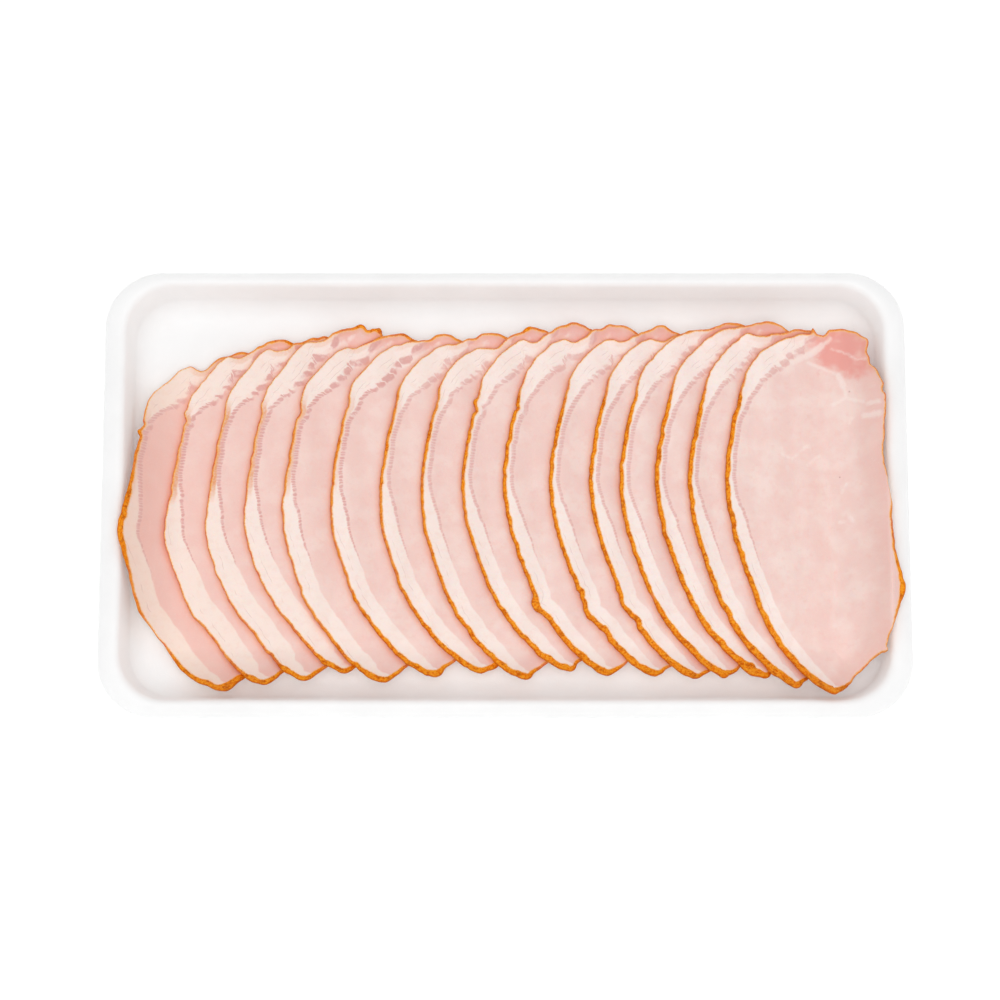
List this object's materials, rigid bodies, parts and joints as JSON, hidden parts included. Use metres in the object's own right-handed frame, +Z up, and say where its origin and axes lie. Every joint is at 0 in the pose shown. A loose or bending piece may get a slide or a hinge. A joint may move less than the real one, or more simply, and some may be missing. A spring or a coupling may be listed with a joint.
{
  "type": "foam meat tray with sliced loin",
  "caption": "Shallow white foam deli tray with rounded corners and a rolled lip, holding a shingled row of thin smoked loin slices that lift off one by one.",
  "frame": {"origin": "centre of the tray's flat underside, which is the bottom centre of the whole part", "axes": "+Z up, +X along the tray's long side towards the end where the top slice lies, +Y towards the tray's rear side, where the blunt ends of the slices lie"},
  "size_m": [0.27, 0.152, 0.0256],
  "materials": {
    "foam": "matte",
    "meat": "satin"
  },
  "bodies": {
    "tray": {"tray": "foam"},
    "slice_01": {"slice_01": "meat"},
    "slice_02": {"slice_02": "meat"},
    "slice_03": {"slice_03": "meat"},
    "slice_04": {"slice_04": "meat"},
    "slice_05": {"slice_05": "meat"},
    "slice_06": {"slice_06": "meat"},
    "slice_07": {"slice_07": "meat"},
    "slice_08": {"slice_08": "meat"},
    "slice_09": {"slice_09": "meat"},
    "slice_10": {"slice_10": "meat"},
    "slice_11": {"slice_11": "meat"},
    "slice_12": {"slice_12": "meat"},
    "slice_13": {"slice_13": "meat"},
    "slice_14": {"slice_14": "meat"},
    "slice_15": {"slice_15": "meat"},
    "slice_16": {"slice_16": "meat"}
  },
  "joints": [
    {"name": "slice_01_lift", "type": "slide", "parent": "tray", "child": "slice_01", "axis": [0, 0, 1], "range_m": [0, 0.03]},
    {"name": "slice_02_lift", "type": "slide", "parent": "slice_01", "child": "slice_02", "axis": [0, 0, 1], "range_m": [0, 0.03]},
    {"name": "slice_03_lift", "type": "slide", "parent": "slice_02", "child": "slice_03", "axis": [0, 0, 1], "range_m": [0, 0.03]},
    {"name": "slice_04_lift", "type": "slide", "parent": "slice_03", "child": "slice_04", "axis": [0, 0, 1], "range_m": [0, 0.03]},
    {"name": "slice_05_lift", "type": "slide", "parent": "slice_04", "child": "slice_05", "axis": [0, 0, 1], "range_m": [0, 0.03]},
    {"name": "slice_06_lift", "type": "slide", "parent": "slice_05", "child": "slice_06", "axis": [0, 0, 1], "range_m": [0, 0.03]},
    {"name": "slice_07_lift", "type": "slide", "parent": "slice_06", "child": "slice_07", "axis": [0, 0, 1], "range_m": [0, 0.03]},
    {"name": "slice_08_lift", "type": "slide", "parent": "slice_07", "child": "slice_08", "axis": [0, 0, 1], "range_m": [0, 0.03]},
    {"name": "slice_09_lift", "type": "slide", "parent": "slice_08", "child": "slice_09", "axis": [0, 0, 1], "range_m": [0, 0.03]},
    {"name": "slice_10_lift", "type": "slide", "parent": "slice_09", "child": "slice_10", "axis": [0, 0, 1], "range_m": [0, 0.03]},
    {"name": "slice_11_lift", "type": "slide", "parent": "slice_10", "child": "slice_11", "axis": [0, 0, 1], "range_m": [0, 0.03]},
    {"name": "slice_12_lift", "type": "slide", "parent": "slice_11", "child": "slice_12", "axis": [0, 0, 1], "range_m": [0, 0.03]},
    {"name": "slice_13_lift", "type": "slide", "parent": "slice_12", "child": "slice_13", "axis": [0, 0, 1], "range_m": [0, 0.03]},
    {"name": "slice_14_lift", "type": "slide", "parent": "slice_13", "child": "slice_14", "axis": [0, 0, 1], "range_m": [0, 0.03]},
    {"name": "slice_15_lift", "type": "slide", "parent": "slice_14", "child": "slice_15", "axis": [0, 0, 1], "range_m": [0, 0.03]},
    {"name": "slice_16_lift", "type": "slide", "parent": "slice_15", "child": "slice_16", "axis": [0, 0, 1], "range_m": [0, 0.03]}
  ]
}
